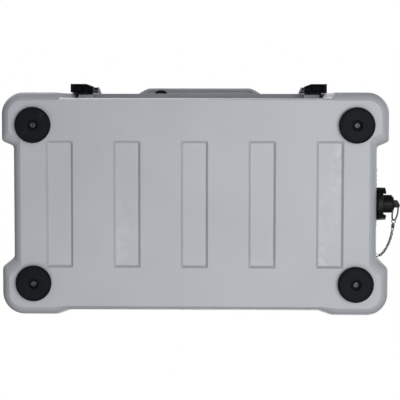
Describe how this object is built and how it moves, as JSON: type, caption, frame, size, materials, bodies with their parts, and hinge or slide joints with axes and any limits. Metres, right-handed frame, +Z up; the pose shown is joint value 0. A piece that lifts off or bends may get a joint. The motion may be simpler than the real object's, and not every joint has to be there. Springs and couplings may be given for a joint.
{
  "type": "hard cooler",
  "caption": "Hard-sided ice chest on rubber feet, with a hinged lid, rubber latches, swing-up side handles and a screw-cap drain on a chain tether.",
  "frame": {"origin": "on the floor under the middle of the chest, at the underside of its feet", "axes": "+Z up, +X along the length towards the drain, -Y towards the latches"},
  "size_m": [0.6938, 0.4249, 0.4],
  "materials": {
    "shell_plastic": "light grey moulded plastic with a fine satin texture",
    "foam": "closed-cell insulating foam",
    "black_rubber": "matt black rubber",
    "black_plastic": "satin black moulded plastic",
    "stainless": "bright stainless steel"
  },
  "bodies": {
    "tub": {"tub_shell": "shell_plastic", "tub_foam": "foam", "tub_fill_plug": "black_plastic", "foot_front_left": "black_rubber", "foot_front_right": "black_rubber", "foot_rear_left": "black_rubber", "foot_rear_right": "black_rubber", "foot_screw_front_left": "stainless", "foot_screw_front_right": "stainless", "foot_screw_rear_left": "stainless", "foot_screw_rear_right": "stainless", "hinge_pin_left": "stainless", "hinge_pin_right": "stainless", "latch_keeper_left": "shell_plastic", "latch_keeper_right": "shell_plastic", "handle_bracket_left": "black_plastic", "handle_bracket_right": "black_plastic", "handle_pin_left_front": "stainless", "handle_pin_left_rear": "stainless", "handle_pin_right_front": "stainless", "handle_pin_right_rear": "stainless", "drain_body": "black_plastic", "drain_gasket": "black_rubber", "drain_nut": "black_plastic", "chain_anchor": "stainless", "tether_chain": "stainless"},
    "lid": {"lid_shell": "shell_plastic", "lid_foam": "foam", "lid_gasket": "black_rubber", "lid_fill_plug": "black_plastic", "latch_pin_left": "stainless", "latch_pin_right": "stainless"},
    "latch_left": {"latch_left": "black_rubber"},
    "latch_right": {"latch_right": "black_rubber"},
    "handle_left": {"handle_bail_left": "black_plastic", "handle_grip_left": "black_rubber"},
    "handle_right": {"handle_bail_right": "black_plastic", "handle_grip_right": "black_rubber"},
    "tether": {"tether_eye": "black_plastic", "tether_ring": "stainless", "tether_clasp": "stainless"},
    "drain_cap": {"drain_cap": "black_plastic", "drain_cap_seal": "black_rubber"}
  },
  "joints": [
    {"name": "lid_hinge", "type": "hinge", "parent": "tub", "child": "lid", "pos_m": [0, 0.204, 0.3315], "axis": [-1, 0, 0], "range_deg": [0, 100]},
    {"name": "latch_left_hinge", "type": "hinge", "parent": "lid", "child": "latch_left", "pos_m": [-0.2222, -0.2025, 0.352], "axis": [-1, 0, 0], "range_deg": [0, 130]},
    {"name": "latch_right_hinge", "type": "hinge", "parent": "lid", "child": "latch_right", "pos_m": [0.2222, -0.2025, 0.352], "axis": [-1, 0, 0], "range_deg": [0, 130]},
    {"name": "handle_left_hinge", "type": "hinge", "parent": "tub", "child": "handle_left", "pos_m": [-0.32889, 0, 0.287], "axis": [0, 1, 0], "range_deg": [0, 90]},
    {"name": "handle_right_hinge", "type": "hinge", "parent": "tub", "child": "handle_right", "pos_m": [0.32889, 0, 0.287], "axis": [0, -1, 0], "range_deg": [0, 90]},
    {"name": "tether_slide", "type": "slide", "parent": "tub", "child": "tether", "axis": [1, 0, 0], "range_m": [0, 0.009]},
    {"name": "drain_cap_screw", "type": "hinge", "parent": "tether", "child": "drain_cap", "pos_m": [0.32595, 0, 0.052], "axis": [1, 0, 0], "range_deg": [0, 1079.9]}
  ],
  "couplings": [
    {"joint": "tether_slide", "follows": "drain_cap_screw", "m_per_rad": 0.00047746}
  ]
}
